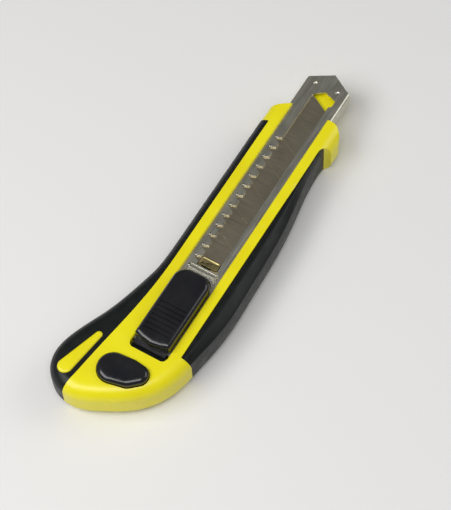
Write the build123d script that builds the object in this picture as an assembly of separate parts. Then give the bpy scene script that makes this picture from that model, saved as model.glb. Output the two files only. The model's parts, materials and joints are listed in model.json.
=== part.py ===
from build123d import *
import os
from math import radians, sqrt, tan

os.makedirs("parts", exist_ok=True)

# A self-loading snap-off knife, lying on its back with the slider up.
# +X runs to the nose, +Y to the cutting-edge side, +Z up, all in millimetres.
# The working values have x = 0 at the tail end and y = 0 on the blade's centreline, and
# save() moves every piece so that the origin is the centre of the footprint, on the underside.

# ------------------------------------------------------------------ driving dimensions
body_length = 155.5       # tail end to the front end of the two rails
body_height = 17.6        # underside to the top of the rails
body_round = 5.6          # rounding of the long upper and lower edges
tail_end = 33.4           # where the solid tail gives way to the right grip
lobe_length = 12.2        # solid yellow lobes in front of the grips
lobe_reach = 6.4          # the right lobe, out from the side of the sleeve
grip_inset = 0.5          # the right grip lies this far below the yellow all round
horn_reach = 22.4         # horn tip, out from the side of the sleeve
belly = 10.1              # right flank, out from the side of the sleeve
flank = 6.8               # left flank, out from the side of the sleeve
rail_wall = 2.5           # yellow wall between the sleeve and each grip
rail_lip = 1.3            # thickness of the lips that hold the sleeve down
lip_overlap = 1.8         # how far each lip reaches over the sleeve
rail_bevel = 0.4          # on the upper inner edges of the rails

blade_width = 18.0
blade_length = 100.0
blade_thick = 0.5
blade_pitch = 12.5        # distance between the score lines
snap_angle = 30.0         # score lines, from square across
blade_bevel = 2.4         # width of the ground edge
blade_hole = 5.0          # diameter of the hole that the slider pulls on
spare_count = 2

sheet = 0.7               # steel of the sleeve
sleeve_wall = 6.0         # height of the sleeve's sides
sleeve_flange = 2.9       # width of the inward flanges underneath
nose_reach = 21.5         # sleeve tip, in front of the rails
tip_recess = 3.4          # resting blade's point, behind the sleeve's shoulders
notch_lead = 6.9          # first notch, ahead of the cap's rear end at rest
nose_angle = 31.0         # each half of the pointed nose, from square across
slot_left = 3.9           # left edge of the sleeve's slot, from the centreline
slot_right = 5.1          # right edge of the sleeve's slot
notch_pitch = 5.28
notch_depth = 2.2
notch_width = 2.8
notch_count = 20

window_start = 28.1       # rear wall of the slider's recess
cap_length = 35.7
cap_width = 15.6
cap_rise = 4.5            # top of the thumb cap above the rails
cap_wall = 1.3
cap_play = 0.8            # the cap moves this far each way to free the lock
back_travel = 1.6         # pull-back from rest that picks up a fresh blade

button_x = 16.6           # centre of the release button
button_y = 3.7
button_long = 20.4
button_short = 13.0
button_rise = 2.6
button_travel = 1.8

door_thick = 2.0
door_width = 19.0
pin_diameter = 1.6
knuckle_diameter = 3.4
follower_width = 14.0
follower_thick = 1.0
follower_travel = 1.5

screw_diameter = 1.8
screw_head = 4.0
screw_head_depth = 1.4

# ------------------------------------------------------------------ named clearances
side_gap = 0.3            # blade to the inside of the sleeve, each side
slide_gap = 0.1           # between flat faces that slide on each other
seat_gap = 0.05           # between pieces that are fastened together
loose_gap = 0.3           # round the button, the door and the latch
pin_gap = 0.05            # radial, pin in knuckle and post in socket

# ------------------------------------------------------------------ levels and places
half_sleeve = blade_width / 2 + side_gap + sheet
rail_inner = half_sleeve - lip_overlap
rail_outer = half_sleeve + rail_wall
parting = body_height / 2
sleeve_top = body_height - rail_lip
curl_under = sleeve_top - sheet
blade_top = curl_under - slide_gap
blade_under = blade_top - blade_thick
stack_step = blade_thick + slide_gap
stack_under = blade_under - spare_count * stack_step
sleeve_under = sleeve_top - sleeve_wall
bed_top = stack_under - seat_gap
bed_under = sleeve_under + sheet + seat_gap
nose_x = body_length + nose_reach
shoulder_x = nose_x - half_sleeve * tan(radians(nose_angle))
lobe_x = body_length - lobe_length

cap_start = window_start + back_travel + cap_play + 0.4
cap_end = cap_start + cap_length
sleeve_start = cap_start + 1.2
blade_tip = shoulder_x - tip_recess
blade_start = blade_tip - blade_length
first_notch = cap_start + notch_lead
lock_room = cap_length - notch_lead - cap_wall - cap_play - 1.1
lock_notch = int(lock_room / notch_pitch)      # the last notch under the cap holds the slider

origin_x = nose_x / 2
origin_y = (horn_reach - belly) / 2

door_start = window_start + 0.5
pin_x = lobe_x - 5.0
pin_z = knuckle_diameter / 2 + 0.1
latch_floor = door_thick + 1.0
latch_thick = 1.1
latch_y0, latch_y1 = button_y - 3.5, button_y + 3.5
cavity_start = window_start + 1.4
bay_half = door_width / 2 + loose_gap
bay_end = pin_x + knuckle_diameter / 2 + loose_gap + 0.1
bed_start = lobe_x - 3.4


# ------------------------------------------------------------------ small makers
def block(x0, x1, y0, y1, z0, z1):
    """A box between two opposite corners."""
    return Pos((x0 + x1) / 2, (y0 + y1) / 2, (z0 + z1) / 2) * Box(x1 - x0, y1 - y0, z1 - z0)


def rod(x, y, z0, z1, diameter):
    """An upright cylinder."""
    return Pos(x, y, (z0 + z1) / 2) * Cylinder(diameter / 2, z1 - z0)


def cross_rod(x, z, y0, y1, diameter):
    """A cylinder across the knife."""
    return Pos(x, (y0 + y1) / 2, z) * Rot(90, 0, 0) * Cylinder(diameter / 2, y1 - y0)


def prism(outline, z0, z1):
    """A closed outline in plan, between two levels."""
    return Pos(0, 0, z0) * extrude(make_face(outline), z1 - z0)


def plate(points, z0, z1):
    """A polygon in plan, between two levels."""
    return prism(Polyline(*points, close=True), z0, z1)


def side_piece(points, y0, y1):
    """A polygon of x and z, between two values of y."""
    face = Plane.XZ * make_face(Polyline(*points, close=True))
    return Pos(0, y0, 0) * extrude(face, y0 - y1)


def bowed_strip(x0, x1, z_foot, z_crown, y0, y1, thick):
    """A leaf spring: a strip bent to an arc, feet down."""
    middle = (x0 + x1) / 2
    upper = ThreePointArc((x0, z_foot + thick), (middle, z_crown), (x1, z_foot + thick))
    lower = ThreePointArc((x1, z_foot), (middle, z_crown - thick), (x0, z_foot))
    outline = [upper, Line((x1, z_foot + thick), (x1, z_foot)), lower,
               Line((x0, z_foot), (x0, z_foot + thick))]
    return Pos(0, y0, 0) * extrude(Plane.XZ * make_face(outline), y0 - y1)


def rounded(shape, edges, radius):
    """The edges rounded, a touch tighter where the full radius cannot be rolled along them."""
    for share in (1.0, 0.99, 0.98, 0.96, 0.93, 0.9, 0.85, 0.8):
        try:
            return fillet(edges, share * radius)
        except ValueError:
            continue
    return shape


def save(name, shape):
    """One node, moved to the part's own origin."""
    placed = Pos(-origin_x, -origin_y, 0) * shape
    export_step(placed, f"parts/{name}.step")


# ------------------------------------------------------------------ the body's outer shape
def envelope(inset):
    """The whole handle: a rounded tail, a horn on the left, and two long flanks."""
    run = lobe_x - tail_end
    ahead = body_length + 12
    right = half_sleeve + belly - inset
    around = Spline(
        (ahead, -(right - 0.54 * belly)),
        (tail_end + 0.88 * run, -(right - 0.54 * belly)),
        (tail_end + 0.67 * run, -(right - 0.20 * belly)),
        (tail_end + 0.36 * run, -(right - 0.02 * belly)),
        (tail_end + 0.20 * run, -right),
        (tail_end + 0.5, -(right - 0.30 * belly)),
        (0.665 * tail_end, -(half_sleeve + 0.38 * belly)),
        (0.353 * tail_end, -0.64 * half_sleeve),
        (0.144 * tail_end, 0.41 * half_sleeve),
        (0, half_sleeve + 0.40 * horn_reach),
        (0.165 * tail_end, half_sleeve + 0.88 * horn_reach),
        (0.41 * tail_end, half_sleeve + horn_reach),
        (0.65 * tail_end, half_sleeve + 0.94 * horn_reach),
        (0.91 * tail_end, half_sleeve + 0.79 * horn_reach),
        (1.18 * tail_end, half_sleeve + 0.62 * horn_reach),
        (1.72 * tail_end, half_sleeve + 0.30 * horn_reach + 0.3 * flank),
        (tail_end + 0.47 * run, half_sleeve + flank),
        tangents=((-1, 0), (1, 0)),
    )
    left = Line((tail_end + 0.47 * run, half_sleeve + flank), (ahead, half_sleeve + flank))
    front = Line((ahead, half_sleeve + flank), (ahead, -(right - 0.54 * belly)))
    whole = prism([around, left, front], inset, body_height - inset)
    rims = whole.edges().filter_by(lambda e: abs(e.bounding_box().size.Z) < 1e-6)
    return rounded(whole, rims, body_round) & front_limit()


def right_lobe():
    """The yellow lobe that stands out in front of the right grip."""
    reach = half_sleeve + lobe_reach
    lobe = block(lobe_x - 20, body_length + 12, -reach, 1 - half_sleeve, 0, body_height)
    outer = lobe.edges().filter_by(Axis.X).group_by(Axis.Y)[0]
    return (fillet(outer, body_round) & front_limit()) - right_zone()


def front_limit():
    """The front end in plan: cut square, with a slanted left corner and a round right one."""
    back = -10
    wide = half_sleeve + horn_reach + 10
    left_corner = half_sleeve + flank - 1.2
    right_corner = half_sleeve + lobe_reach
    corner_round = 6.5
    bend_x = body_length - corner_round
    corner = [
        Line((back, -wide), (lobe_x - 2, -wide)),
        Line((lobe_x - 2, -wide), (lobe_x - 2, -right_corner)),
        Line((lobe_x - 2, -right_corner), (bend_x, -right_corner)),
        CenterArc((bend_x, corner_round - right_corner), corner_round, -90, 90),
        Line((body_length, corner_round - right_corner), (body_length, left_corner - 7.2)),
        Line((body_length, left_corner - 7.2), (body_length - 4.6, left_corner)),
        Line((body_length - 4.6, left_corner), (lobe_x, left_corner)),
        Line((lobe_x, left_corner), (lobe_x, wide)),
        Line((lobe_x, wide), (back, wide)),
        Line((back, wide), (back, -wide)),
    ]
    return prism(corner, -1, body_height + 1)


def left_zone():
    """Plan of the left grip: it widens from a narrow strip into the horn."""
    far = half_sleeve + horn_reach + 20
    inner = Spline(
        (-6, rail_outer + 9.3),
        (0.14 * tail_end, rail_outer + 7.2),
        (0.52 * tail_end, rail_outer + 5.4),
        (1.06 * tail_end, rail_outer + 2.7),
        (1.60 * tail_end, rail_outer + 0.6),
        (2.54 * tail_end, rail_outer),
        tangents=((1, -0.15), (1, 0)),
    )
    outline = [inner, Line((2.54 * tail_end, rail_outer), (lobe_x, rail_outer)),
               Line((lobe_x, rail_outer), (lobe_x, far)), Line((lobe_x, far), (-6, far)),
               Line((-6, far), (-6, rail_outer + 9.3))]
    return prism(outline, -1, body_height + 1)


def right_zone():
    """Plan of the right grip: square at the tail, an oval end at the front."""
    far = half_sleeve + belly + 12
    front_x = lobe_x + 1.0
    end = Spline((lobe_x - 3.0, -rail_outer), (lobe_x - 0.4, -rail_outer - 1.0), (front_x, -rail_outer - 3.4),
                 tangents=((1, 0), (0, -1)))
    outline = [end, Line((front_x, -rail_outer - 3.4), (front_x, -far)), Line((front_x, -far), (tail_end, -far)),
               Line((tail_end, -far), (tail_end, -rail_outer)),
               Line((tail_end, -rail_outer), (lobe_x - 3.0, -rail_outer))]
    return prism(outline, -1, body_height + 1)


# ------------------------------------------------------------------ the leaf on the horn
def leaf_outline(grow):
    """A teardrop, wide at the tail and narrow towards the nose."""
    wide_x, wide_y, wide_r = 8.6, half_sleeve + 14.2, 3.1 + grow
    tip_x, tip_y, tip_r = 26.2, half_sleeve + 10.1, 1.5 + grow
    wide, tip = Pos(wide_x, wide_y) * Circle(wide_r), Pos(tip_x, tip_y) * Circle(tip_r)
    return make_hull(wide.edges() + tip.edges())


def leaf(grow, z0, z1):
    return Pos(0, 0, z0) * extrude(leaf_outline(grow), z1 - z0)


# ------------------------------------------------------------------ fastenings
def screw_places():
    tail_x = window_start - 1.9
    front_x = body_length - 7.5
    return [(tail_x, half_sleeve + 2.0), (tail_x, 0.5 - half_sleeve),
            (front_x, rail_outer + 0.9), (front_x, -rail_outer - 0.9)]


def screw(x, y):
    seat = screw_seat()
    head = rod(x, y, seat - screw_head_depth, seat, screw_head)
    shank = rod(x, y, seat, body_height - 3.2, screw_diameter)
    arm = 0.45 * screw_head
    cut = seat - screw_head_depth
    recess = block(x - arm, x + arm, y - 0.3, y + 0.3, cut - 1, cut + 0.7)
    recess += block(x - 0.3, x + 0.3, y - arm, y + arm, cut - 1, cut + 0.7)
    return head + shank - recess


def screw_seat():
    return parting - 5.0


def screw_bores():
    bores = []
    for x, y in screw_places():
        bores.append(rod(x, y, -1, screw_seat(), screw_head + 2 * seat_gap))
        bores.append(rod(x, y, -1, body_height - 3.0, screw_diameter + 2 * seat_gap))
    return bores


# ------------------------------------------------------------------ the release button
def button_face(grow):
    """An egg in plan, its narrow end towards the right flank."""
    wide_r, middle_r, narrow_r = 0.49 * button_short, 0.455 * button_short, 0.32 * button_short
    wide_y = button_y + button_long / 2 - wide_r
    narrow_y = button_y - button_long / 2 + narrow_r
    wide = Pos(button_x, wide_y) * Circle(wide_r + grow)
    middle = Pos(button_x + 0.9, 0.59 * narrow_y + 0.41 * wide_y) * Circle(middle_r + grow)
    narrow = Pos(button_x + 2.2, narrow_y) * Circle(narrow_r + grow)
    return make_hull(wide.edges() + middle.edges() + narrow.edges())


def button_prism(grow, z0, z1):
    return Pos(0, 0, z0) * extrude(button_face(grow), z1 - z0)


tail_roof = body_height - 2.2
flange_thick = 1.3
button_ledge = tail_roof - 4.0
ramp_line = button_x + 3.5        # x + z on the latch's ramp
stem_foot = latch_floor + latch_thick + button_travel + 0.3


def button():
    crown = button_prism(0, tail_roof - slide_gap - flange_thick, body_height + button_rise)
    top = crown.faces().sort_by(Axis.Z)[-1]
    crown = fillet(top.edges(), 1.0)
    flange = button_prism(0.8, tail_roof - slide_gap - flange_thick, tail_roof - slide_gap)
    face = ramp_line + slide_gap * sqrt(2)
    left, right = button_x - 4.4, button_x + 4.0
    stem = side_piece(
        [(face - stem_foot, stem_foot), (right, stem_foot), (right, tail_roof - 1),
         (left, tail_roof - 1), (left, face - left)],
        latch_y0 + 1.0, latch_y1 - 1.0)
    return crown + flange + stem


def button_spring():
    """Two bowed leaves, one each side of the stem."""
    crown = tail_roof - slide_gap - flange_thick - seat_gap
    floor = button_ledge + seat_gap
    near = bowed_strip(button_x - 1.0, button_x + 5.5, floor, crown, button_y - 7.3, button_y - 4.8, 0.3)
    far = bowed_strip(button_x - 4.0, button_x + 5.0, floor, crown, button_y + 5.2, button_y + 7.7, 0.3)
    return near + far


def latch():
    top = latch_floor + latch_thick
    rear = button_x - 5.6
    body = block(rear, window_start + 0.7, latch_y0, latch_y1, latch_floor + slide_gap, top)
    ramp = side_piece([(ramp_line - top, top - 0.2), (ramp_line - top, top), (rear, ramp_line - rear),
                       (rear, top - 0.2)], latch_y0, latch_y1)
    return body + ramp


def latch_spring():
    """A bent leaf behind the latch that pushes it forward again."""
    x1 = button_x - 5.6 - seat_gap
    x0 = x1 - 2.6
    outline = [(x0, latch_y0 + 2.5), (x1 - 0.3, latch_y1 - 0.6), (x1, latch_y1 - 0.6),
               (x1, latch_y1 - 0.9), (x0 + 0.3, latch_y0 + 2.2), (x0, latch_y0 + 2.2)]
    return plate(outline, latch_floor + 0.3, latch_floor + 2.6)


# ------------------------------------------------------------------ the two shells
def tail_hollow():
    """Room in the tail for the button's stem, the latch and its spring."""
    deep = block(button_x - 9.2, cavity_start + 1, latch_y0 - loose_gap, latch_y1 + loose_gap,
                 latch_floor, tail_roof - 2)
    wide = button_prism(0.8 + loose_gap, button_ledge, tail_roof)
    return [deep, wide]


def sleeve_hollow():
    """The long space that the sleeve lies in, with the slider's recess above it."""
    room = block(sleeve_start - 0.5, body_length + 20, -half_sleeve - seat_gap, half_sleeve + seat_gap,
                 parting, sleeve_top + seat_gap)
    below = block(cavity_start, bay_end, -bay_half, bay_half, door_thick + 1.2, sleeve_under)
    window = block(window_start, body_length + 20, -rail_inner, rail_inner, sleeve_top - 3, body_height + 9)
    corners = window.edges().filter_by(Axis.Z).group_by(Axis.X)[0]
    window = fillet(corners, 2.0)
    bevelled = rail_inner + rail_bevel + 1
    flare = Plane.YZ * make_face(Polyline(
        (-rail_inner, body_height - rail_bevel), (-bevelled, body_height + 1), (bevelled, body_height + 1),
        (rail_inner, body_height - rail_bevel), close=True))
    bevels = Pos(window_start + 2.0, 0, 0) * extrude(flare, body_length)
    return [room, below, window, bevels]


def upper_shell(core):
    shell = core & block(-20, nose_x + 20, -60, 60, parting, body_height + 9)
    for cut in sleeve_hollow() + tail_hollow() + screw_bores():
        shell -= cut
    shell -= button_prism(loose_gap, tail_roof - 1, body_height + 9)
    return shell


def lower_shell(core):
    shell = core & block(-20, nose_x + 20, -60, 60, -1, parting)
    for cut in sleeve_hollow() + tail_hollow() + screw_bores():
        shell -= cut
    shell -= block(door_start - loose_gap, bay_end, -bay_half, bay_half, -1, door_thick + 2)
    shell -= cross_rod(pin_x, pin_z, -bay_half - 1.6, bay_half + 1.6, pin_diameter + 2 * seat_gap)
    saddle = block(lobe_x + 1.0, body_length - 0.5, -half_sleeve + 0.3, half_sleeve - 0.3,
                   parting - 0.5, sleeve_under - seat_gap)
    return shell + saddle


# ------------------------------------------------------------------ sleeve and bed
def slot_outline(x0):
    """The slot in plan: parallel edges, a wider eye near the nose, then a short point."""
    end = shoulder_x - 7.0
    eye = slot_right + 1.2
    middle = (slot_left - slot_right) / 2
    apex = end + (slot_left + slot_right) / 2 * tan(radians(nose_angle + 8))
    return [(x0, -slot_right), (end - 2.5, -slot_right), (end - 1.5, -eye), (end + 1.5, -eye),
            (apex, middle), (end, slot_left), (x0, slot_left)]


def nose_outline(x0, inset):
    half = half_sleeve - inset
    return [(x0, -half), (shoulder_x, -half), (nose_x - inset, 0), (shoulder_x, half), (x0, half)]


def sleeve():
    folded = plate(nose_outline(sleeve_start, 0), sleeve_under, sleeve_top)
    long_edges = folded.edges().filter_by(Axis.X).group_by(Axis.Z)[-1]
    folded = fillet(long_edges, 1.3)
    half = half_sleeve - sheet
    room = block(sleeve_start - 5, nose_x + 5, -half, half, sleeve_under + sheet, curl_under)
    room = fillet(room.edges().filter_by(Axis.X).group_by(Axis.Z)[-1], 0.6)
    folded -= room
    folded -= block(sleeve_start + 4, bed_start - 0.5, -half, half, sleeve_under - 1, curl_under)
    gap = half_sleeve - sleeve_flange
    folded -= block(sleeve_start - 5, nose_x + 5, -gap, gap, sleeve_under - 1, sleeve_under + sheet + 1)
    folded -= block(shoulder_x, nose_x + 5, -half_sleeve - 1, half_sleeve + 1, sleeve_under - 1, curl_under)
    folded -= plate(slot_outline(sleeve_start - 5), curl_under - 1, sleeve_top + 1)
    for number in range(notch_count):
        folded -= notch(first_notch + number * notch_pitch)
    for side in (-1, 1):
        ball = Pos(shoulder_x - 1.5, side * 0.52 * half_sleeve, sleeve_top + 0.9) * Sphere(1.3)
        folded -= ball
    return folded


def notch(x):
    """One notch of the lock, cut outwards from the slot's left edge."""
    half = notch_width / 2
    points = [(x - half, slot_left - 0.5), (x - half, slot_left), (x - 0.45 * half, slot_left + notch_depth),
              (x + 0.45 * half, slot_left + notch_depth), (x + half, slot_left), (x + half, slot_left - 0.5)]
    return plate(points, curl_under - 1, sleeve_top + 1)


follower_start = blade_start + 2.4
follower_end = pin_x - 4.5


def bed():
    """The moulded bed in the nose: the blades' points lie on it, and its tongue stops the spares."""
    inset = sheet + seat_gap + 0.3
    frame = plate(nose_outline(bed_start, inset), bed_under, bed_top)
    frame += plate(nose_outline(blade_tip + 0.3, inset), bed_under, blade_under - slide_gap)
    for x, y in rivet_places():
        frame -= rod(x, y, bed_under - 1, bed_under + 1.9, 1.6 + 2 * seat_gap)
    return frame


def rivet_places():
    y = half_sleeve - sleeve_flange / 2 - 0.1
    return [(x, side * y) for x in (lobe_x - 1.5, body_length + 9) for side in (-1, 1)]


def rivets():
    group = []
    for x, y in rivet_places():
        head = rod(x, y, sleeve_under - 0.25, sleeve_under, 2.4)
        group.append(head + rod(x, y, sleeve_under, bed_under + 1.8, 1.6))
    return Compound(group)


# ------------------------------------------------------------------ blades
def blade(x0, under):
    """A snap-off blade: slanted point, ground edge, score lines and a hole."""
    half = blade_width / 2
    lean = blade_width * tan(radians(snap_angle))
    tip = x0 + blade_length
    outline = [(x0, -half), (tip - lean, -half), (tip, half), (x0 + 3.0, half), (x0, half - 3.0)]
    steel = plate(outline, under, under + blade_thick)
    top = under + blade_thick
    for side, level in ((1, top), (-1, under)):
        tri = [(half + 0.01, level + side * 0.01), (half + 0.01, level - side * 0.4 * blade_thick),
               (half - blade_bevel, level + side * 0.01)]
        face = Plane.YZ * make_face(Polyline(*tri, close=True))
        steel -= Pos(x0 - 5, 0, 0) * extrude(face, blade_length + 10)
    groove = 0.12
    for number in range(1, int(blade_length / blade_pitch)):
        x = tip - number * blade_pitch
        line = [(x - lean - 0.15, -half - 0.01), (x - lean + 0.15, -half - 0.01),
                (x + 0.15, half + 0.01), (x - 0.15, half + 0.01)]
        if x - lean > x0 + 9:
            steel -= plate(line, top - groove, top + 1)
    return steel - rod(hook_x, 0, under - 1, top + 1, blade_hole)


hook_x = blade_start + 6.2


# ------------------------------------------------------------------ the slider
base_end = blade_start - slide_gap
platform_x0 = cap_start + cap_wall + cap_play + 0.4
platform_x1 = cap_end - cap_wall - cap_play - 0.4
platform_top = body_height + 1.2
platform_half = cap_width / 2 - cap_wall - 0.4
slot_gap = 0.2
cap_middle = (cap_start + cap_end) / 2
lug_level = sleeve_top + 1.1
lug_height = 0.4
tongue_half = 7.2         # the carriage's rear tongue, out each way
tongue_rise = 1.0         # its top, above the sleeve


def carriage():
    """The slider under the cap: a foot below the curls, a neck in the slot, a platform above."""
    foot = block(platform_x0, base_end, -blade_width / 2 + 0.2, blade_width / 2 - 0.2, blade_under, blade_top)
    neck = block(platform_x0, platform_x1, slot_gap - slot_right, slot_left - slot_gap,
                 blade_top, sleeve_top + slide_gap)
    nose = block(platform_x1, base_end, slot_gap - slot_right, slot_left - slot_gap,
                 blade_top, sleeve_top - slide_gap)
    platform = block(platform_x0, platform_x1, -platform_half, platform_half,
                     sleeve_top + slide_gap, platform_top)
    platform = fillet(platform.edges().filter_by(Axis.Z).group_by(Axis.X)[-1], 2.6)
    tongue = block(cap_start - cap_play, platform_x0, -tongue_half, tongue_half,
                   sleeve_top + slide_gap, sleeve_top + tongue_rise)
    body = foot + neck + nose + platform + tongue
    for side in (-1, 1):
        edge = side * platform_half
        body -= block(cap_middle - 6.2, cap_middle + 6.2, edge - 0.6, edge + 0.6,
                      lug_level - 0.2, lug_level + lug_height + 0.2)
    return body - lock_well(0.3)


def lock_well(grow):
    """The upright hole that the lock spring's tooth passes through."""
    x = first_notch + lock_notch * notch_pitch
    return block(x - 0.7 - grow, x + 0.7 + grow, slot_left - 0.4 - grow, slot_left + 1.7 + grow,
                 curl_under - 1, platform_top + 1)


def lock_spring():
    """A steel strip on the platform, with a tooth at its front that drops into a notch."""
    x = first_notch + lock_notch * notch_pitch
    y0, y1 = slot_left - 0.4, slot_left + 1.7
    strip = block(platform_x0 + 1.5, x + 0.7, y0, y1, platform_top + 0.02, platform_top + 0.32)
    tooth = block(x - 0.7, x + 0.7, y0, y1, curl_under + 0.1, platform_top + 0.32)
    yoke = block(platform_x0 + 1.5, platform_x0 + 4.5, -slot_right, y1, platform_top + 0.02, platform_top + 0.32)
    return strip + tooth + yoke


def apron():
    """The curved skirt and low ridge in front of the cap."""
    x0 = platform_x1 + 0.05
    top = sleeve_top + 1.9
    skirt_end = base_end + 1.0
    skirt = side_piece(
        [(cap_end + cap_play + 0.3, sleeve_top + slide_gap), (skirt_end + 3.2, sleeve_top + slide_gap),
         (skirt_end + 3.2, sleeve_top + 0.8), (skirt_end + 0.6, sleeve_top + 0.8),
         (cap_end + cap_play + 1.8, top), (cap_end + cap_play + 0.3, top)], -6.4, 6.4)
    tie = block(x0, cap_end + cap_play + 0.31, -3.0, 3.0, sleeve_top + slide_gap, sleeve_top + 0.9)
    return skirt + tie


def hook():
    """The bar in the slot, with the stud that takes the blade's hole."""
    x0 = base_end + 1.7
    bar = block(x0 + 3.2, hook_x + 1.5, -slot_right + 0.3, slot_left - 0.3, blade_top + 0.05, sleeve_top + 0.5)
    arm = block(x0, x0 + 3.3, -2.4, 2.4, blade_top + 0.05, sleeve_top - 0.1)
    stud = rod(hook_x, 0, blade_under + 0.05, blade_top + 0.2, blade_hole - 0.1)
    return bar + arm + stud


def thumb_cap():
    top = body_height + cap_rise
    under = sleeve_top + 0.2
    shell = block(cap_start, cap_end, -cap_width / 2, cap_width / 2, under, top)
    shell = fillet(shell.edges().filter_by(Axis.Z).group_by(Axis.X)[-1], 4.0)
    shell = fillet(shell.edges().filter_by(Axis.Z).group_by(Axis.X)[0], 1.0)
    upper = shell.faces().sort_by(Axis.Z)[-1]
    shell = fillet(upper.edges(), 0.9)
    room = block(cap_start + cap_wall, cap_end - cap_wall, cap_wall - cap_width / 2,
                 cap_width / 2 - cap_wall, under - 1, top - 1.6)
    room = fillet(room.edges().filter_by(Axis.Z).group_by(Axis.X)[-1], 2.8)
    shell -= room
    shell -= block(cap_end - cap_wall - 1, cap_end + 1, -3.3, 3.3, under - 1, sleeve_top + 1.2)
    shell -= block(cap_start - 1, platform_x0 + cap_play + loose_gap, -cap_width, cap_width,
                   under - 1, sleeve_top + tongue_rise + 0.2)
    inside = cap_width / 2 - cap_wall
    for side in (-1, 1):
        shell += block(cap_middle - 5, cap_middle + 5, side * inside - 0.8, side * inside + 0.8,
                       lug_level, lug_level + lug_height)
    for number in range(7):
        x = cap_start + 3.2 + number * 2.3
        shell -= block(x, x + 0.9, -cap_width / 2 + 1.6, cap_width / 2 - 1.6, top - 0.5, top + 1)
    return shell


def bumper():
    """A black pad on the floor of the recess, behind the sleeve."""
    floor = sleeve_top - 3 + seat_gap
    side = rail_inner - seat_gap
    pad = block(window_start + seat_gap, sleeve_start - 0.5 - seat_gap, -side, side, floor, floor + 0.9)
    return fillet(pad.edges().filter_by(Axis.Z).group_by(Axis.X)[0], 2.0)


# ------------------------------------------------------------------ the magazine door
def door():
    half = door_width / 2
    panel = block(door_start, pin_x, -half, half, 0, door_thick)
    barrel = cross_rod(pin_x, pin_z, -half, half, knuckle_diameter)
    post_top = latch_floor + latch_thick + slide_gap + 1.5
    lip_under = latch_floor + latch_thick + slide_gap
    post = side_piece(
        [(door_start + 0.8, door_thick - 0.1), (door_start + 2.8, door_thick - 0.1),
         (door_start + 2.8, post_top), (window_start - 0.5, post_top), (window_start - 0.5, lip_under),
         (door_start + 0.8, lip_under)], latch_y0 + 1.0, latch_y1 - 1.0)
    stop = block(blade_start - 3.4, blade_start - 0.4, -half + 2.0, half - 2.0,
                 door_thick - 0.1, blade_under - slide_gap)
    panel += barrel + post + stop
    for x in post_places():
        panel += rod(x, 0, door_thick - 0.1, door_thick + 5.0, 5.2)
        panel -= rod(x, 0, door_thick, door_thick + 6.0, post_diameter + 2 * pin_gap)
    panel -= cross_rod(pin_x, pin_z, -half - 1, half + 1, pin_diameter + 2 * pin_gap)
    for number in range(9):
        x = door_start + 6 + number * 2.4
        panel -= block(x, x + 1.0, -half + 2.5, half - 2.5, -1, 0.45)
    return panel


post_diameter = 3.0


def post_places():
    return (follower_start + 4.0, follower_end - 4.0)


def follower():
    top = stack_under - slide_gap
    under = top - follower_thick
    half = follower_width / 2
    strip = block(follower_start, follower_end, -half, half, under, top)
    strip = fillet(strip.edges().filter_by(Axis.Z), 2.0)
    for x in post_places():
        strip += rod(x, 0, door_thick + follower_travel + 0.3, under + 0.1, post_diameter)
    return strip


def follower_spring():
    x0, x1 = post_places()
    crown = stack_under - slide_gap - follower_thick - seat_gap
    return bowed_strip(x0 + 4.0, x1 - 4.0, door_thick + seat_gap, crown, -2.6, 2.6, 0.4)


def door_pin():
    reach = door_width / 2 + loose_gap + 1.5
    return cross_rod(pin_x, pin_z, -reach, reach, pin_diameter)


# ------------------------------------------------------------------ build and write
handle = envelope(0)
core = (handle - left_zone() - right_zone()) + right_lobe()
leaf_floor = body_height - 5.0

upper = upper_shell(core)
inlay = leaf(0, leaf_floor, body_height + 0.5)
inlay = fillet(inlay.faces().sort_by(Axis.Z)[-1].edges(), 0.6)

save("upper_shell", upper)
save("lower_shell", lower_shell(core))
save("left_grip", (handle & left_zone()) - leaf(seat_gap, leaf_floor - seat_gap, body_height + 5))
save("right_grip", envelope(grip_inset) & right_zone())
save("horn_inlay", inlay)
save("blade_sleeve", sleeve() - Compound([rod(x, y, sleeve_under - 1, bed_under, 1.6 + 2 * seat_gap)
                                          for x, y in rivet_places()]))
save("blade_bed", bed())
save("bed_rivets", rivets())
save("shell_screws", Compound([screw(x, y) for x, y in screw_places()]))
for number in range(spare_count):
    save(f"spare_blade_{number + 1}", blade(blade_start, blade_under - (number + 1) * stack_step))
save("active_blade", blade(blade_start, blade_under))
save("slider_carriage", carriage())
save("lock_spring", lock_spring())
save("slider_apron", apron())
save("drive_hook", hook())
save("thumb_cap", thumb_cap())
save("recess_bumper", bumper())
save("release_button", button())
save("button_spring", button_spring())
save("door_latch", latch())
save("latch_spring", latch_spring())
save("magazine_door", door())
save("door_pin", door_pin())
save("follower_plate", follower())
save("follower_spring", follower_spring())
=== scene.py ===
# %% [markdown]
# # A self-loading snap-off knife
# This knife is a handle in two yellow halves, two soft black grips, a folded steel sleeve
# and a thumb slider that pushes a snap-off blade out of the nose. The moving parts and their
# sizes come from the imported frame, so this lesson only dresses them: it lights the knife,
# gives every surface its finish, and models the pieces whose shape is softer than CAD draws.

# %% Load the frame
import json
import math

import bmesh
import bpy
from mathutils import Matrix, Vector


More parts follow.
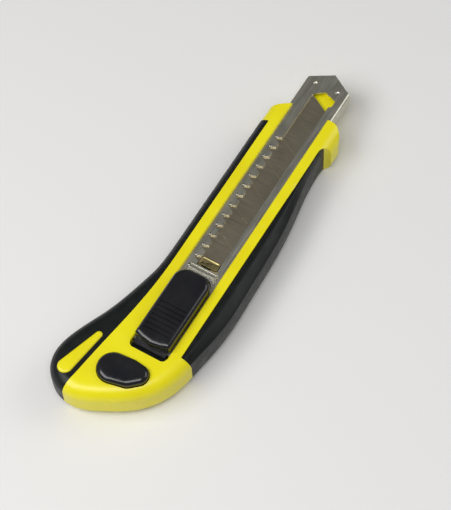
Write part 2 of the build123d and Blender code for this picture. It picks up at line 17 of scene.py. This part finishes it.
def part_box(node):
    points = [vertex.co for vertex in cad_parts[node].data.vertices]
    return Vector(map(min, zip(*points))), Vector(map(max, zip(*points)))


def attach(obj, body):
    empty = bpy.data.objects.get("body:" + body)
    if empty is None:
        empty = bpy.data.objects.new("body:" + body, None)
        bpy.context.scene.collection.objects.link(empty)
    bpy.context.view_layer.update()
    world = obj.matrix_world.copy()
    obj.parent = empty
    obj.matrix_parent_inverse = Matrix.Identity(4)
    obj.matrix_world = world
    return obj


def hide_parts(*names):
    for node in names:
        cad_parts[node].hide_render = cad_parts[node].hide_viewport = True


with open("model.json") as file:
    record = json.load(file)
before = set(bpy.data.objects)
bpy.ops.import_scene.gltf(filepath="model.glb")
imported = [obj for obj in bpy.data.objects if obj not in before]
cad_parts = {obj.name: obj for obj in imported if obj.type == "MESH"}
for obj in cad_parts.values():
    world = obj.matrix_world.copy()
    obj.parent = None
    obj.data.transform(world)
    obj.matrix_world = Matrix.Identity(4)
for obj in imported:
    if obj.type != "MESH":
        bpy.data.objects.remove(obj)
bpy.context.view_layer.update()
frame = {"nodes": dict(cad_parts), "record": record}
MM = 0.001


# %% [markdown]
# ## The camera
# The knife is looked at from above its right flank, turned so that it runs from the lower
# left to the upper right. A long lens keeps the perspective gentle. The three vectors below
# are where the knife's own axes point as the camera sees them: right, down and away.

# %% Camera
ALONG = Vector((0.51028, -0.75794, 0.40639))
ACROSS = Vector((-0.85946, -0.43247, 0.27259))
UPWARD = Vector((-0.03086, -0.48837, -0.87209))
LENS_MM = 132.8
SENSOR_MM = 36.0
SEEN_FROM = Vector((-4.34, -2.12, 760.12))    # the origin, from the camera: right, down, away (mm)


def camera_at_the_bench():
    turn = Matrix((ALONG, ACROSS, UPWARD)).transposed()
    place = -(turn.transposed() @ SEEN_FROM) * MM
    rows = turn.transposed()
    right, down, away = rows.col[0], rows.col[1], rows.col[2]
    data = bpy.data.cameras.new("bench_camera")
    data.lens, data.sensor_width = LENS_MM, SENSOR_MM
    data.clip_start, data.clip_end = 0.01, 20
    camera = bpy.data.objects.new("bench_camera", data)
    pose = Matrix((right, -down, -away)).transposed().to_4x4()
    pose.translation = place
    camera.matrix_world = pose
    bpy.context.scene.collection.objects.link(camera)
    bpy.context.scene.camera = camera
    return camera


camera = camera_at_the_bench()
print("camera stands at", [round(v, 3) for v in camera.matrix_world.translation])


# %% [markdown]
# ## The bench and the light
# A pale matt floor shows the contact shadow. One large panel on the tail side gives the
# long soft highlights of moulded plastic, a second one fills the far side, and the room
# itself is a dim even grey, so the steel has something to reflect.

# %% Floor, lights and room
def paint(name, colour, roughness):
    """A plain material, for what isn't part of the knife."""
    material = bpy.data.materials.new(name)
    material.use_nodes = True
    shader = material.node_tree.nodes["Principled BSDF"]
    shader.inputs["Base Color"].default_value = (*colour, 1)
    shader.inputs["Roughness"].default_value = roughness
    return material


def floor_sheet():
    bpy.ops.object.select_all(action="DESELECT")
    bpy.ops.mesh.primitive_plane_add(size=4, location=(0, 0, 0))
    floor = bpy.context.object
    floor.name = "bench_top"
    floor.data.materials.append(paint("bench_paint", (0.80, 0.79, 0.77), 0.8))


def soft_panel(name, place, size, watts):
    """A rectangular area light that faces the knife."""
    data = bpy.data.lights.new(name, "AREA")
    data.shape, data.size, data.size_y, data.energy = "RECTANGLE", size[0], size[1], watts
    panel = bpy.data.objects.new(name, data)
    panel.location = place
    panel.rotation_euler = (-Vector(place)).to_track_quat("-Z", "Y").to_euler()
    bpy.context.scene.collection.objects.link(panel)


floor_sheet()
soft_panel("key_panel", (-0.45, 0.35, 0.75), (0.7, 0.5), 5.2)
soft_panel("fill_panel", (0.55, -0.55, 0.6), (0.6, 0.6), 2.0)
soft_panel("top_panel", (-0.35, -0.2, 1.0), (0.5, 0.5), 3.6)
world = bpy.data.worlds.new("studio_room")
world.use_nodes = True
world.node_tree.nodes["Background"].inputs[0].default_value = (0.75, 0.77, 0.8, 1)
world.node_tree.nodes["Background"].inputs[1].default_value = 0.22
bpy.context.scene.world = world
bpy.context.scene.view_settings.view_transform = "Standard"


# %% [markdown]
# ## How the finishes are built
# Each finish is a Principled shader fed by noise patterns on Object coordinates, in metres,
# so a grain of 0.3 mm has the same size on every piece. The helper below wires the three
# things that most of them need: a colour that drifts, a roughness that varies, and a bump.

# %% Finish helper
class Finish:
    """A material under construction: a shader, a coordinate source and helpers for patterns."""

    def __init__(self, name, colour, roughness, metallic=0.0, coat=0.0, ior=1.5):
        self.material = bpy.data.materials.new(name)
        self.material.use_nodes = True
        self.nodes = self.material.node_tree.nodes
        self.links = self.material.node_tree.links
        self.shader = self.nodes["Principled BSDF"]
        self.shader.inputs["Base Color"].default_value = (*colour, 1)
        self.shader.inputs["Roughness"].default_value = roughness
        self.shader.inputs["Metallic"].default_value = metallic
        self.shader.inputs["Coat Weight"].default_value = coat
        self.shader.inputs["Coat Roughness"].default_value = 0.12
        self.shader.inputs["IOR"].default_value = ior
        self.place = self.nodes.new("ShaderNodeTexCoord").outputs["Object"]
        self.normal = None

    def stretched(self, scale, turn=(0, 0, 0)):
        """Object coordinates scaled by axis, for brushed lines and drawn streaks."""
        mapping = self.nodes.new("ShaderNodeMapping")
        mapping.inputs["Scale"].default_value = scale
        mapping.inputs["Rotation"].default_value = turn
        self.links.new(self.place, mapping.inputs["Vector"])
        return mapping.outputs["Vector"]

    def noise(self, scale, detail=3.0, vector=None, roughness=0.55):
        noise = self.nodes.new("ShaderNodeTexNoise")
        noise.inputs["Scale"].default_value = scale
        noise.inputs["Detail"].default_value = detail
        noise.inputs["Roughness"].default_value = roughness
        self.links.new(vector or self.place, noise.inputs["Vector"])
        return noise.outputs["Fac"]

    def range(self, value, low_in, high_in, low_out, high_out):
        """Stretches a pattern's useful part over another range."""
        node = self.nodes.new("ShaderNodeMapRange")
        for socket, number in zip(("From Min", "From Max", "To Min", "To Max"),
                                  (low_in, high_in, low_out, high_out)):
            node.inputs[socket].default_value = number
        self.links.new(value, node.inputs["Value"])
        return node.outputs["Result"]

    def mix(self, factor, first, second):
        """A colour between two others; either may be a socket."""
        node = self.nodes.new("ShaderNodeMix")
        node.data_type = "RGBA"
        self.links.new(factor, node.inputs["Factor"])
        for socket, colour in (("A", first), ("B", second)):
            target = [i for i in node.inputs if i.name == socket and i.type == "RGBA"][0]
            if isinstance(colour, tuple):
                target.default_value = (*colour, 1)
            else:
                self.links.new(colour, target)
        return [o for o in node.outputs if o.type == "RGBA"][0]

    def colour(self, socket):
        self.links.new(socket, self.shader.inputs["Base Color"])

    def rough(self, socket):
        self.links.new(socket, self.shader.inputs["Roughness"])

    def bump(self, height, depth_mm, strength=1.0):
        node = self.nodes.new("ShaderNodeBump")
        node.inputs["Strength"].default_value = strength
        node.inputs["Distance"].default_value = depth_mm * MM
        self.links.new(height, node.inputs["Height"])
        if self.normal is not None:
            self.links.new(self.normal, node.inputs["Normal"])
        self.normal = node.outputs["Normal"]
        self.links.new(self.normal, self.shader.inputs["Normal"])


# %% [markdown]
# ## Plastics
# The yellow halves are glossy ABS with a very fine spark-eroded grain and hair-fine
# scratches. The grips are soft rubber: dark, dull, and a little dusty. The cap and the button
# are the same black plastic, polished.

# %% Plastic finishes
def yellow_abs():
    f = Finish("yellow_abs", (0.83, 0.76, 0.03), 0.32, coat=0.12)
    drift = f.range(f.noise(45, 2), 0.35, 0.65, 0, 1)
    shade = f.mix(drift, (0.80, 0.69, 0.003), (0.86, 0.77, 0.006))
    scuffs = f.range(f.noise(900, 4, f.stretched((0.15, 1, 1), (0, 0, 0.5))), 0.63, 0.75, 0, 0.35)
    f.colour(f.mix(scuffs, shade, (0.88, 0.82, 0.12)))
    f.rough(f.range(f.noise(160, 4), 0.3, 0.7, 0.26, 0.40))
    f.bump(f.noise(2600, 2), 0.012, 0.6)
    f.bump(f.noise(700, 4, f.stretched((0.12, 1, 1), (0, 0, 0.5))), 0.006, 0.5)
    return f.material


def black_rubber():
    f = Finish("black_rubber", (0.010, 0.010, 0.011), 0.55)
    f.shader.inputs["Specular IOR Level"].default_value = 0.32
    dust = f.range(f.noise(420, 5, roughness=0.7), 0.56, 0.74, 0, 0.5)
    f.colour(f.mix(dust, (0.005, 0.006, 0.006), (0.018, 0.018, 0.017)))
    f.rough(f.range(f.noise(240, 3), 0.3, 0.7, 0.34, 0.48))
    f.bump(f.noise(3200, 2), 0.03, 0.7)
    return f.material


def black_polish(name, roughness):
    f = Finish(name, (0.008, 0.008, 0.010), roughness, coat=0.25)
    f.colour(f.mix(f.range(f.noise(90, 2), 0.4, 0.7, 0, 1), (0.006, 0.006, 0.008), (0.012, 0.012, 0.014)))
    f.rough(f.range(f.noise(500, 5, f.stretched((0.2, 1, 1), (0, 0, 0.9))), 0.35, 0.75,
                    roughness, roughness + 0.14))
    f.bump(f.noise(1500, 3), 0.004, 0.4)
    return f.material


def grey_plastic():
    f = Finish("grey_plastic", (0.20, 0.19, 0.17), 0.38, coat=0.1)
    f.colour(f.mix(f.range(f.noise(150, 3), 0.35, 0.65, 0, 1), (0.27, 0.26, 0.235), (0.36, 0.35, 0.32)))
    f.rough(f.range(f.noise(600, 3), 0.3, 0.7, 0.3, 0.48))
    f.bump(f.noise(2200, 2), 0.01, 0.5)
    return f.material


# %% [markdown]
# ## Steels
# The sleeve is rolled strip, so its fine lines run along the knife. A blade is ground across
# its edge: its flat has faint cross lines and a film of oil.
# The lines come from noise squeezed along one axis.

# %% Steel finishes
def sleeve_steel():
    f = Finish("sleeve_steel", (0.33, 0.31, 0.27), 0.34, metallic=1.0)
    lines = f.noise(1.0, 4, f.stretched((60, 3200, 3200)))
    stain = f.range(f.noise(130, 4), 0.38, 0.68, 0, 1)
    tone = f.mix(stain, (0.60, 0.575, 0.47), (0.46, 0.44, 0.35))
    f.colour(f.mix(f.range(lines, 0.35, 0.7, 0, 0.5), tone, (0.70, 0.68, 0.60)))
    f.rough(f.range(f.noise(1.0, 3, f.stretched((90, 1500, 1500))), 0.3, 0.7, 0.28, 0.44))
    f.bump(lines, 0.006, 0.5)
    return f.material


def blade_steel():
    f = Finish("blade_steel", (0.36, 0.34, 0.30), 0.3, metallic=1.0)
    lines = f.noise(1.0, 3, f.stretched((3800, 90, 200)))
    oil = f.range(f.noise(70, 4), 0.35, 0.7, 0, 1)
    f.colour(f.mix(oil, (0.52, 0.46, 0.33), (0.40, 0.35, 0.24)))
    f.rough(f.range(lines, 0.3, 0.7, 0.26, 0.4))
    f.bump(lines, 0.004, 0.5)
    return f.material


def spring_steel():
    f = Finish("spring_steel", (0.5, 0.5, 0.49), 0.25, metallic=1.0)
    f.colour(f.mix(f.range(f.noise(900, 3), 0.35, 0.7, 0, 1), (0.52, 0.52, 0.5), (0.38, 0.37, 0.34)))
    f.rough(f.range(f.noise(1400, 3), 0.3, 0.7, 0.2, 0.36))
    f.bump(f.noise(2600, 3), 0.004, 0.4)
    return f.material


def brass():
    f = Finish("dull_brass", (0.36, 0.30, 0.13), 0.42, metallic=1.0)
    f.colour(f.mix(f.range(f.noise(260, 4), 0.35, 0.65, 0, 1), (0.40, 0.34, 0.15), (0.26, 0.21, 0.10)))
    f.rough(f.range(f.noise(900, 3), 0.3, 0.7, 0.34, 0.52))
    f.bump(f.noise(2400, 3), 0.006, 0.4)
    return f.material


FINISH = {
    "brass": brass(),
    "yellow_plastic": yellow_abs(),
    "black_grip": black_rubber(),
    "black_plastic": black_polish("black_satin", 0.36),
    "black_gloss": black_polish("black_gloss", 0.16),
    "grey_plastic": grey_plastic(),
    "sleeve_steel": sleeve_steel(),
    "blade_steel": blade_steel(),
    "spring_steel": spring_steel(),
}
print("finishes:", sorted(FINISH))

# %% Dress the CAD nodes
for part in frame["record"]["subparts"]:
    node = frame["nodes"][part["node"]]
    for slot in node.material_slots:
        slot.material = FINISH[part["material_slot"]]


# %% [markdown]
# ## Modelling helpers
# Most pieces here are drawn the way a moulded button is: a few rounds and the tangent lines
# round them. Rings of that outline are stacked, each higher one a little further in, and one
# convex hull over all the rings makes the wall, the rolled edge and the flat top.

# %% Selecting, hulling and crowning
RING_CORNERS = 48    # corners of each circle that is hulled


def pick(kind, rule):
    """In edit mode, selects the faces, edges or vertices that a rule accepts, and nothing else."""
    piece = bpy.context.object
    bpy.ops.mesh.select_mode(type=kind)
    bpy.ops.mesh.select_all(action="DESELECT")
    mesh = bmesh.from_edit_mesh(piece.data)
    things = {"FACE": mesh.faces, "EDGE": mesh.edges, "VERT": mesh.verts}[kind]
    chosen = [thing for thing in things if rule(thing, piece.matrix_world)]
    for thing in chosen:
        thing.select_set(True)
    mesh.select_flush_mode()
    bmesh.update_edit_mesh(piece.data)


def faces_up(face, world):
    return (world.to_3x3() @ face.normal).z > 0.9


def faces_down(face, world):
    return (world.to_3x3() @ face.normal).z < -0.9


def pebble(name, layers):
    """A hull stretched over rings: each layer is a height and its rounds (x, y, radius), in mm."""
    bpy.ops.object.select_all(action="DESELECT")
    started = False
    for height, rounds in layers:
        for x, y, radius in rounds:
            bpy.ops.mesh.primitive_circle_add(vertices=RING_CORNERS, radius=radius * MM,
                                              location=(x * MM, y * MM, height * MM))
            if not started:
                started = True
                bpy.context.object.name = name
                bpy.ops.object.mode_set(mode="EDIT")
    bpy.ops.mesh.select_all(action="SELECT")
    bpy.ops.mesh.convex_hull()
    bpy.ops.mesh.dissolve_limited(angle_limit=math.radians(0.8))
    return bpy.context.object


def rolled(outline, rim, draw_in, lift, steps, start=0.0):
    """Layers that roll an outline over in a quarter of an ellipse; outline takes the inset."""
    layers = []
    for step in range(1, steps + 1):
        turn = math.pi / 2 * step / steps
        layers.append((rim + lift * math.sin(turn), outline(start + draw_in * (1 - math.cos(turn)))))
    return layers


def settle(piece, body, slot, stands_for, angle=38):
    """Leaves edit mode, brings the origin home, smooths, gives the finish, hangs the piece on its body and
    hides what it stands for.
    """
    if bpy.context.mode == "EDIT_MESH":
        bpy.ops.mesh.select_all(action="SELECT")
        bpy.ops.mesh.normals_make_consistent(inside=False)
        bpy.ops.object.mode_set(mode="OBJECT")
    bpy.ops.object.select_all(action="DESELECT")
    piece.select_set(True)
    bpy.context.view_layer.objects.active = piece
    bpy.ops.object.transform_apply(location=True, rotation=True, scale=True)
    for modifier in list(piece.modifiers):
        bpy.ops.object.modifier_apply(modifier=modifier.name)
    bpy.ops.object.shade_smooth_by_angle(angle=math.radians(angle))
    piece.data.materials.clear()
    piece.data.materials.append(FINISH[slot])
    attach(piece, body)
    if stands_for:
        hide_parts(*stands_for)
    print(piece.name, "faces:", len(piece.data.polygons))


def box_mm(node):
    """A node's lowest and highest corners in millimetres."""
    low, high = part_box(node)
    return Vector(low) / MM, Vector(high) / MM


# %% [markdown]
# ## The release button
# The button is an egg in plan, wide towards the horn and narrow towards the right flank,
# and its top is a polished dome. Three rounds give the egg. The rim is rolled over twice,
# tightly at the edge and then slowly towards the middle, which is what makes one long
# curved highlight run round it. The face underneath is drawn in to a narrow bar and extruded
# into the stem that reaches down to the door's latch.

# %% Release button
def release_button():
    low, high = box_mm("release_button")
    flange, wide, middle, narrow = 0.8, 6.37, 5.91, 4.16     # the ledge, then the rounds' radii
    skirt, rolled_over, stem = 6.0, 0.7, 4.4                 # heights
    wide_x, wide_y = low.x + flange + wide, high.y - flange - wide
    narrow_y = low.y + flange + narrow

    middle_y = 0.59 * narrow_y + 0.41 * wide_y

    def egg(inset):
        return [(wide_x, wide_y, wide - inset), (wide_x + 0.9, middle_y, middle - inset),
                (wide_x + 2.2, narrow_y, narrow - inset)]

    rim = high.z - 1.5
    layers = [(high.z - skirt, egg(0)), (rim, egg(0))]
    layers += rolled(egg, rim, 0.6, rolled_over, 5)
    layers += rolled(egg, rim + rolled_over, 2.5, 0.8, 9, start=0.6)
    button = pebble("button_dome", layers)
    pick("FACE", faces_down)
    bpy.ops.mesh.inset(thickness=2.4 * MM, depth=0)
    centre = (wide_x * MM, (low.y + high.y) / 2 * MM, 0)
    bpy.ops.transform.resize(value=(0.95, 0.29, 1), center_override=centre)
    bpy.ops.mesh.extrude_region_move(TRANSFORM_OT_translate={"value": (0, 0, -stem * MM)})
    settle(button, "button", "black_gloss", ["release_button"])


release_button()


# %% [markdown]
# ## The leaf on the horn
# A teardrop of the yellow plastic shows through the black horn. It is low and pillowed, with
# a soft edge, so its rim is rolled over a little more than a millimetre.

# %% Horn leaf
def horn_leaf():
    low, high = box_mm("horn_inlay")
    wide, tip, pillow = 3.1, 1.5, 0.9     # the rounds' radii, and the rim's height

    def teardrop(inset):
        return [(low.x + wide, high.y - wide, wide - inset), (high.x - tip, low.y + tip, tip - inset)]

    rim = high.z - pillow
    layers = [(low.z, teardrop(0)), (rim, teardrop(0))]
    layers += rolled(teardrop, rim, 1.3, pillow, 8)
    leaf = pebble("horn_leaf", layers)
    settle(leaf, "handle", "yellow_plastic", ["horn_inlay"], angle=50)


horn_leaf()


# %% [markdown]
# ## The thumb cap
# The cap is the shiny black shell that the thumb pushes. Its front is nearly a half round, its
# rear edge bows out a little, and its top is smooth in front with low ribs across the rear
# half. The outline is a hull of rounds again. The ribs are cut into the flat top: bisecting it
# across makes strips, and every second strip is drawn in and pushed down.

# %% Thumb cap
CAP_FRONT = 5.4      # radius of the cap's front corners, mm
SKIRT_GAP = 1.05     # the shell's hem is this far above the CAD cap's lowest face, mm
RIB_START, RIB_STEP = 4.6, 1.05      # first rib's edge from the cap's rear, and edge to edge, mm
RIB_EDGES = 14


def thumb_cap():
    low, high = box_mm("thumb_cap")
    half = (high.y - low.y) / 2
    middle = (high.y + low.y) / 2

    def thumb(inset):
        corner = max(0.1, 0.9 - inset)
        reach = half - max(0.9, inset + 0.1)
        rear = [(low.x + inset + corner + 1.6 * (y / reach) ** 2, middle + y, corner)
                for y in (-reach, -0.6 * reach, 0, 0.6 * reach, reach)]
        return rear + [(high.x - CAP_FRONT, middle + side * (half - CAP_FRONT), CAP_FRONT - inset)
                       for side in (-1, 1)]

    rim = high.z - 1.6
    layers = [(low.z + SKIRT_GAP, thumb(0)), (rim, thumb(0.1))]
    layers += rolled(thumb, rim, 0.5, 0.7, 5, start=0.1)
    layers += rolled(thumb, rim + 0.7, 2.3, 0.9, 8, start=0.6)
    cap = pebble("cap_shell", layers)
    flat = (high.z - 0.05) * MM
    ribs = [low.x + RIB_START + RIB_STEP * number for number in range(RIB_EDGES)]

    def on_top(face, world):
        return faces_up(face, world) and (world @ face.calc_center_median()).z > flat

    for x in ribs:
        pick("FACE", on_top)
        bpy.ops.mesh.bisect(plane_co=(x * MM, 0, 0), plane_no=(1, 0, 0))
    for left, right in zip(ribs[::2], ribs[1::2]):
        pick("FACE", lambda f, w: on_top(f, w) and left * MM < (w @ f.calc_center_median()).x < right * MM)
        bpy.ops.mesh.inset(thickness=0.22 * MM, depth=-0.38 * MM)
    pick("FACE", faces_down)
    bpy.ops.mesh.delete(type="FACE")
    wall = cap.modifiers.new("wall", "SOLIDIFY")
    wall.thickness, wall.offset = 0.9 * MM, -1
    settle(cap, "cap", "black_gloss", ["thumb_cap"])


thumb_cap()


# %% [markdown]
# ## The apron and the drive bar
# A pale skirt follows the cap's round front like a crescent, and a flat tongue with two low
# ridges runs from it into the slot, to the bar that drives the blade. The crescent is the wall
# of a hulled outline with its flat faces and its rear deleted, then thickened. The tongue is
# one box that bisecting divides and extruding raises into ridges.

# %% Apron
def skirt_crescent():
    bottom = box_mm("slider_apron")[0].z
    cap_low, cap_high = box_mm("thumb_cap")
    middle = (cap_high.y + cap_low.y) / 2
    radius, half, height = CAP_FRONT + 0.25, 8.1, 1.7
    rounds = [(cap_high.x + 1.5 - radius, middle + side * (half - radius), radius) for side in (-1, 1)]
    rounds += [(cap_high.x - 10, middle + side * (half - 1.0), 1.0) for side in (-1, 1)]
    band = pebble("skirt_crescent", [(bottom, rounds), (bottom + height, rounds)])
    pick("FACE", lambda f, w: faces_up(f, w) or faces_down(f, w)
         or (w @ f.calc_center_median()).x < (cap_high.x - 1.0) * MM)
    bpy.ops.mesh.delete(type="FACE")
    wall = band.modifiers.new("wall", "SOLIDIFY")
    wall.thickness, wall.offset = 0.55 * MM, -1
    edge = band.modifiers.new("edge", "BEVEL")
    edge.width, edge.segments, edge.limit_method, edge.angle_limit = 0.16 * MM, 3, "ANGLE", math.radians(50)
    settle(band, "slider", "grey_plastic", ["slider_apron"])


def ridged_tongue(x0, x1, y0, y1, z0, z1, ridges):
    """A plate across the slot with ridges on it; a ridge is where it starts and ends, and its rise."""
    bpy.ops.object.select_all(action="DESELECT")
    bpy.ops.mesh.primitive_cube_add(size=1, location=((x0 + x1) / 2 * MM, (y0 + y1) / 2 * MM,
                                                      (z0 + z1) / 2 * MM))
    tongue = bpy.context.object
    tongue.name = "ridged_tongue"
    bpy.ops.object.mode_set(mode="EDIT")
    bpy.ops.transform.resize(value=((x1 - x0) * MM, (y1 - y0) * MM, (z1 - z0) * MM))
    for start, end, _ in ridges:
        for x in (start, end):
            bpy.ops.mesh.select_all(action="SELECT")
            bpy.ops.mesh.bisect(plane_co=(x * MM, 0, 0), plane_no=(1, 0, 0))
    for start, end, rise in ridges:
        pick("FACE", lambda f, w: faces_up(f, w) and start * MM < (w @ f.calc_center_median()).x < end * MM)
        bpy.ops.mesh.extrude_region_move(TRANSFORM_OT_translate={"value": (0, 0, rise * MM)})
    edge = tongue.modifiers.new("edge", "BEVEL")
    edge.width, edge.segments, edge.limit_method = 0.15 * MM, 3, "ANGLE"
    settle(tongue, "slider", "sleeve_steel", [])


skirt_crescent()
apron_low, apron_high = box_mm("slider_apron")
tongue_start = box_mm("thumb_cap")[1].x + 1.2
ridged_tongue(tongue_start, apron_high.x, apron_low.y, apron_high.y - 0.6, apron_low.z, apron_low.z + 0.55,
              [(tongue_start + 1.2, tongue_start + 2.0, 0.5), (apron_high.x - 0.9, apron_high.x - 0.2, 0.45)])


# %% [markdown]
# ## The drive bar
# The bar drops through the slot into the blade's hole. It is a small brass pressing with
# rounded ends and a shallow trough, so one box is bevelled, its top drawn in and sunk.

# %% Drive bar
ARM_LENGTH = 3.3     # the CAD hook's flat arm, which lies under the ridged tongue, mm


def drive_bar():
    low, high = box_mm("drive_hook")
    bpy.ops.object.select_all(action="DESELECT")
    x0 = low.x + ARM_LENGTH
    bpy.ops.mesh.primitive_cube_add(size=1, location=((x0 + high.x) / 2 * MM, (low.y + high.y) / 2 * MM,
                                                      (low.z + high.z) / 2 * MM))
    bar = bpy.context.object
    bar.name = "drive_bar"
    bpy.ops.object.mode_set(mode="EDIT")
    bpy.ops.transform.resize(value=((high.x - x0) * MM, (high.y - low.y) * MM, (high.z - low.z) * MM))
    pick("EDGE", lambda e, w: (e.verts[0].co - e.verts[1].co).xy.length < 1e-6)
    bpy.ops.mesh.bevel(offset=0.6 * MM, segments=4, affect="EDGES")
    pick("FACE", faces_up)
    bpy.ops.mesh.inset(thickness=0.4 * MM, depth=0)
    bpy.ops.mesh.inset(thickness=0.45 * MM, depth=-0.35 * MM)
    edge = bar.modifiers.new("edge", "BEVEL")
    edge.width, edge.segments, edge.limit_method = 0.12 * MM, 2, "ANGLE"
    settle(bar, "slider", "brass", ["drive_hook"])


drive_bar()


# %% [markdown]
# ## Polished corners on the notches
# The lock's tooth has burnished the front corner of every notch, so each one holds a small
# bright point of light. One flattened ball is made at the first notch and copied along the
# row, each copy with its own mesh, and all are joined into one piece.

# %% Notch glints
NOTCH_PITCH, NOTCH_COUNT = 5.28, 20
FIRST_CORNER = 8.0       # first notch's front corner, from the cap's rear end, mm
ROW_OFFSET = 6.35        # the row of corners, from the knife's centreline, mm


def notch_glints():
    top = box_mm("blade_sleeve")[1].z
    cap_low, cap_high = box_mm("thumb_cap")
    row = (cap_low.y + cap_high.y) / 2 + ROW_OFFSET
    first = cap_low.x + FIRST_CORNER
    bpy.ops.object.select_all(action="DESELECT")
    bpy.ops.mesh.primitive_uv_sphere_add(segments=16, ring_count=8, radius=0.62 * MM,
                                         location=(first * MM, row * MM, top * MM))
    glint = bpy.context.object
    glint.name = "notch_glints"
    bpy.ops.object.mode_set(mode="EDIT")
    bpy.ops.transform.resize(value=(1.0, 0.9, 0.24))
    bpy.ops.object.mode_set(mode="OBJECT")
    copies = []
    for number in range(1, NOTCH_COUNT):
        twin = glint.copy()
        twin.data = glint.data.copy()
        twin.location.x += number * NOTCH_PITCH * MM
        bpy.context.scene.collection.objects.link(twin)
        copies.append(twin)
    bpy.ops.object.select_all(action="DESELECT")
    for twin in copies + [glint]:
        twin.select_set(True)
    bpy.context.view_layer.objects.active = glint
    bpy.ops.object.join()
    settle(glint, "handle", "spring_steel", [])


notch_glints()


# %% [markdown]
# ## The right grip
# The right grip is a long bar of soft rubber with a flat top and a slanted side that meet in
# a ridge. The ridge runs in towards the rail as the flank narrows to the front. A flat
# section is drawn first, with its outer corners cut, and extruded along the knife, station by
# station. At each station a ray shot at the CAD grip tells how far out the flank is, and the
# section is squeezed towards the rail to match.

# %% Right grip
STATIONS = (0.02, 0.05, 0.09, 0.13, 0.18, 0.24, 0.3, 0.37, 0.44, 0.51, 0.58, 0.65, 0.71, 0.77,
            0.82, 0.86, 0.9, 0.935, 0.965)     # shares of the grip's length
NOSE_STEPS = ((0.3, 0.86), (0.3, 0.78), (0.22, 0.6), (0.13, 0.35))     # share of what is left, squeeze


def flank_at(node, x, z):
    """How far out a node's right flank is at a place along it (mm)."""
    hit, place, *_ = node.ray_cast((x * MM, -0.2, z * MM), (0, 1, 0))
    return place.y / MM if hit else None


def right_grip():
    low, high = box_mm("right_grip")
    node = frame["nodes"]["right_grip"]
    rail, level = high.y, (low.z + high.z) / 2
    reach = flank_at(node, low.x + 0.3, level)
    bpy.ops.object.select_all(action="DESELECT")
    bpy.ops.mesh.primitive_plane_add(size=1, rotation=(0, math.radians(90), 0),
                                     location=(low.x * MM, (rail + reach) / 2 * MM, level * MM))
    grip = bpy.context.object
    grip.name = "flank_grip"
    bpy.ops.object.transform_apply(location=True, rotation=True, scale=True)
    bpy.ops.object.mode_set(mode="EDIT")
    centre = (low.x * MM, (rail + reach) / 2 * MM, level * MM)
    bpy.ops.transform.resize(value=(1, (rail - reach) * MM, (high.z - low.z) * MM), center_override=centre)
    outer = (rail + reach) / 2 * MM
    pick("VERT", lambda v, w: v.co.y < outer and v.co.z < level * MM)
    bpy.ops.mesh.bevel(offset=3.6 * MM, segments=5, affect="VERTICES")
    pick("VERT", lambda v, w: v.co.y < outer and v.co.z > (high.z - 0.5) * MM)
    bpy.ops.mesh.bevel(offset=2.4 * MM, segments=1, affect="VERTICES")
    pick("VERT", lambda v, w: v.co.y < (reach + 2.8) * MM and v.co.z > (high.z - 2.6) * MM)
    bpy.ops.mesh.bevel(offset=0.45 * MM, segments=3, affect="VERTICES")
    pick("VERT", lambda v, w: (reach + 1.4) * MM < v.co.y < (reach + 3.1) * MM
         and v.co.z > (high.z - 0.7) * MM)
    bpy.ops.transform.translate(value=(0, 0, 0.4 * MM))
    pick("FACE", lambda f, w: True)
    x, width = low.x, rail - reach
    length = high.x - low.x
    for share in STATIONS:
        ahead = low.x + share * length
        out = flank_at(node, ahead, level)
        bpy.ops.mesh.extrude_region_move(TRANSFORM_OT_translate={"value": ((ahead - x) * MM, 0, 0)})
        bpy.ops.transform.resize(value=(1, (rail - out) / width, 1),
                                 center_override=(0, rail * MM, level * MM))
        x, width = ahead, rail - out
    for step, squeeze in NOSE_STEPS:
        bpy.ops.mesh.extrude_region_move(
            TRANSFORM_OT_translate={"value": (step * (1 - STATIONS[-1]) * length * MM, 0, 0)})
        bpy.ops.transform.resize(value=(1, squeeze, 0.995),
                                 center_override=(0, (rail - width) * MM, level * MM))
    settle(grip, "handle", "black_grip", ["right_grip"], angle=30)


right_grip()
